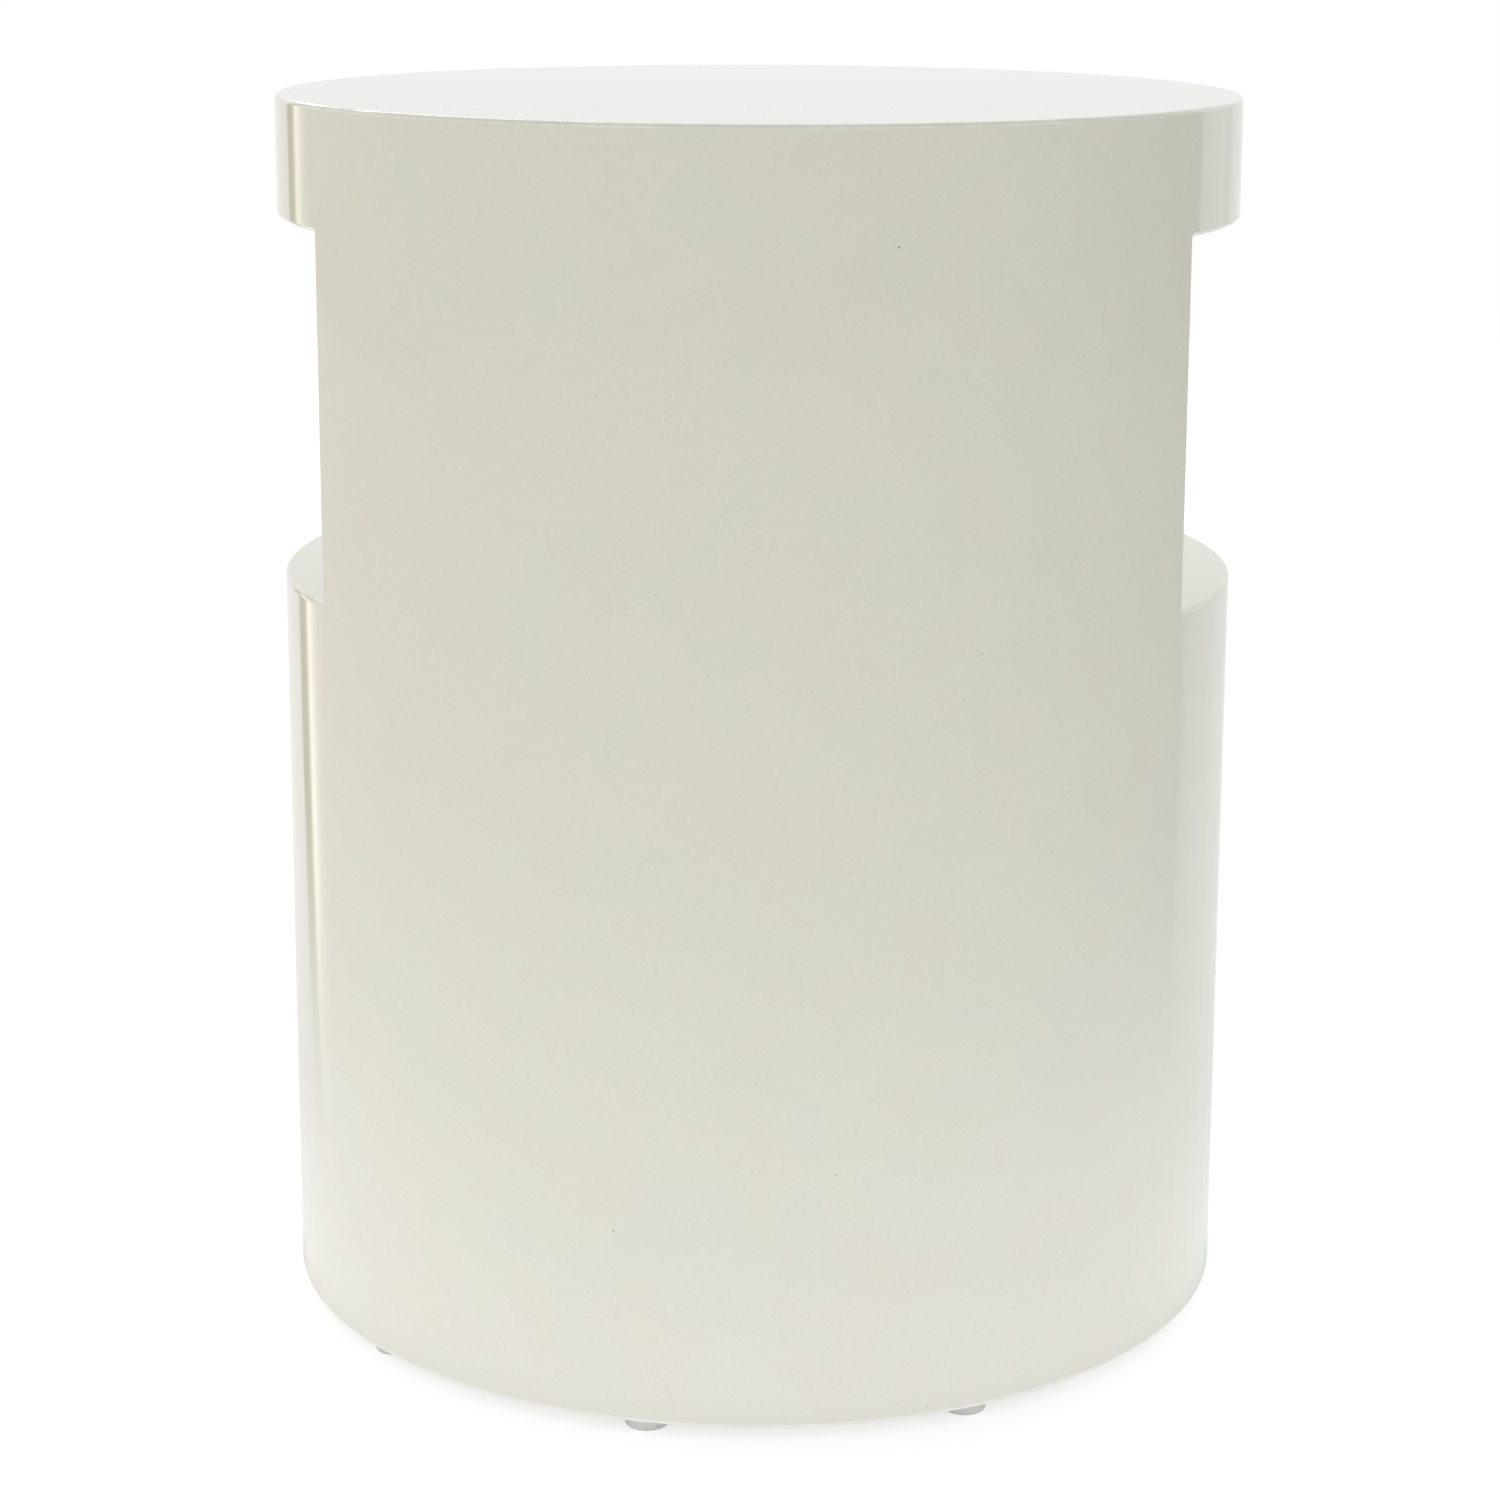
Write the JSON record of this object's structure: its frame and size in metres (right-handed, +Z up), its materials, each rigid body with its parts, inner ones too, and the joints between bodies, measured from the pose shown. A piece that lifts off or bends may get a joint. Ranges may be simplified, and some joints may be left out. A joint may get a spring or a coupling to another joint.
{
  "type": "side table",
  "caption": "Round lacquered drum side table with a deep open slot from the back that makes a shelf under a round top, on small glides.",
  "frame": {"origin": "on the floor, under the drum's axis", "axes": "+Z up along the drum's axis, +Y towards the back, where the slot opens, +X to the right as seen from the closed wall"},
  "size_m": [0.4572, 0.4572, 0.5842],
  "materials": {
    "lacquered_ply": "off-white gloss lacquer on bent plywood",
    "lacquered_board": "off-white gloss lacquer on fibreboard",
    "fibreboard": "raw medium density fibreboard",
    "softwood": "planed softwood",
    "hardwood_dowel": "fluted hardwood dowel, flutes left out",
    "plated_screw": "zinc plated",
    "glide_plastic": "pale grey-white nylon"
  },
  "bodies": {
    "root": {"drum_skin": "lacquered_ply", "top_panel": "lacquered_board", "soffit_panel": "lacquered_board", "shelf_panel": "lacquered_board", "spine_panel": "lacquered_board", "base_floor": "fibreboard", "spine_stud_left": "softwood", "spine_stud_centre": "softwood", "spine_stud_right": "softwood", "spine_rib_base": "fibreboard", "spine_rib_shelf": "fibreboard", "spine_rib_slot": "fibreboard", "spine_rib_top": "fibreboard", "base_ring_rib": "fibreboard", "base_web_left": "fibreboard", "base_web_right": "fibreboard", "shelf_cleat": "softwood", "top_ring_rib": "fibreboard", "top_web_left": "fibreboard", "top_web_right": "fibreboard", "shelf_dowels": "hardwood_dowel", "soffit_dowels": "hardwood_dowel", "top_dowels": "hardwood_dowel", "floor_screws": "plated_screw", "stud_screws": "plated_screw", "web_screws": "plated_screw", "cleat_screws": "plated_screw", "glides": "glide_plastic", "glide_screws": "plated_screw"}
  },
  "joints": []
}
